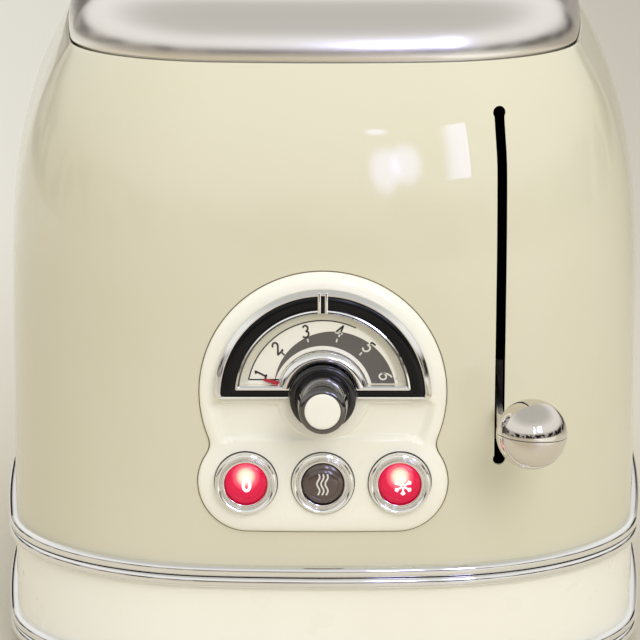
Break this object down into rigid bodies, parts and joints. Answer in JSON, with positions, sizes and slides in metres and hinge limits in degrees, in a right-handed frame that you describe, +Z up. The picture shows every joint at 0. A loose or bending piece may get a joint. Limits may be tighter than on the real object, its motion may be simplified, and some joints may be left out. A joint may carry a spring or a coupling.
{
  "type": "pop up toaster",
  "caption": "Two-slice pop-up toaster in gloss cream enamel with a chrome lid and bands, a half-round browning dial, lit push buttons and a ball lever, standing with its lever down.",
  "frame": {"origin": "on the surface that it stands on, under the middle of its bounding box, lever down", "axes": "+Z up, -Y towards the control end, +X to the right of someone who faces the controls"},
  "size_m": [0.1944, 0.3328, 0.2006],
  "materials": {
    "cream_enamel": "gloss cream enamel",
    "ivory_plastic": "gloss ivory moulding",
    "chrome": "polished chrome plate",
    "dial_print": "printed scale, satin",
    "pointer_red": "red enamel",
    "black_plastic": "gloss black",
    "red_lens": "translucent red, lit from behind",
    "smoke_lens": "smoked translucent, unlit",
    "board_green": "epoxy circuit board",
    "screw_steel": "zinc plated",
    "zinc_steel": "zinc coated sheet",
    "polished_steel": "drawn stainless wire and strip",
    "tray_steel": "satin sheet",
    "mica": "mica card",
    "nichrome": "oxidised resistance ribbon",
    "copper_wire": "enamelled copper winding",
    "nylon": "natural nylon",
    "rubber": "matt black rubber"
  },
  "bodies": {
    "toaster": {"board_screws": "screw_steel", "body_shell": "cream_enamel", "browning_control": "black_plastic", "cancel_bezel": "chrome", "chassis_screws": "screw_steel", "control_board": "board_green", "control_panel": "ivory_plastic", "cord_gland": "rubber", "defrost_bezel": "chrome", "dial_bezel": "chrome", "dial_plate": "dial_print", "feet": "rubber", "front_bulkhead": "zinc_steel", "front_chassis_plate": "zinc_steel", "guide_rod_left": "polished_steel", "guide_rod_right": "polished_steel", "inner_bread_guard_left": "polished_steel", "inner_bread_guard_right": "polished_steel", "inner_heater_board_left": "mica", "inner_heater_board_right": "mica", "inner_heater_ribbon_left": "nichrome", "inner_heater_ribbon_right": "nichrome", "lid": "chrome", "lower_band": "chrome", "magnet_coil": "copper_wire", "magnet_core": "zinc_steel", "outer_bread_guard_left": "polished_steel", "outer_bread_guard_right": "polished_steel", "outer_heater_board_left": "mica", "outer_heater_board_right": "mica", "outer_heater_ribbon_left": "nichrome", "outer_heater_ribbon_right": "nichrome", "plinth": "ivory_plastic", "rear_bulkhead": "zinc_steel", "rear_chassis_plate": "zinc_steel", "reheat_bezel": "chrome", "return_springs": "polished_steel", "rod_bracket": "zinc_steel", "side_reflector_left": "zinc_steel", "side_reflector_right": "zinc_steel", "tact_switches": "black_plastic", "upper_band": "chrome"},
    "lift": {"lever_arm": "zinc_steel", "lever_ball_top": "chrome", "lever_ball_bottom": "chrome", "carriage": "zinc_steel", "carriage_bushes": "nylon", "latch_keeper": "zinc_steel", "bread_rack_left": "polished_steel", "bread_rack_right": "polished_steel"},
    "knob": {"browning_knob": "chrome", "knob_skirt": "black_plastic", "dial_pointer": "pointer_red", "control_spindle": "polished_steel"},
    "cancel_key": {"cancel_button": "red_lens"},
    "reheat_key": {"reheat_button": "smoke_lens"},
    "defrost_key": {"defrost_button": "red_lens"},
    "tray": {"crumb_tray": "tray_steel", "tray_pull": "ivory_plastic"}
  },
  "joints": [
    {"name": "lever_lift", "type": "slide", "parent": "toaster", "child": "lift", "axis": [0, 0, 1], "range_m": [0, 0.078], "deforming": ["return_springs"]},
    {"name": "browning_turn", "type": "hinge", "parent": "toaster", "child": "knob", "pos_m": [0, -0.1436, 0.0912], "axis": [0, 1, 0], "range_deg": [0, 148]},
    {"name": "tray_slide", "type": "slide", "parent": "toaster", "child": "tray", "axis": [0, 1, 0], "range_m": [0, 0.2]},
    {"name": "cancel_press", "type": "slide", "parent": "toaster", "child": "cancel_key", "axis": [0, 1, 0], "range_m": [0, 0.0015], "stiffness_N_per_m": 300, "springref_m": -0.003},
    {"name": "reheat_press", "type": "slide", "parent": "toaster", "child": "reheat_key", "axis": [0, 1, 0], "range_m": [0, 0.0015], "stiffness_N_per_m": 300, "springref_m": -0.003},
    {"name": "defrost_press", "type": "slide", "parent": "toaster", "child": "defrost_key", "axis": [0, 1, 0], "range_m": [0, 0.0015], "stiffness_N_per_m": 300, "springref_m": -0.003}
  ]
}
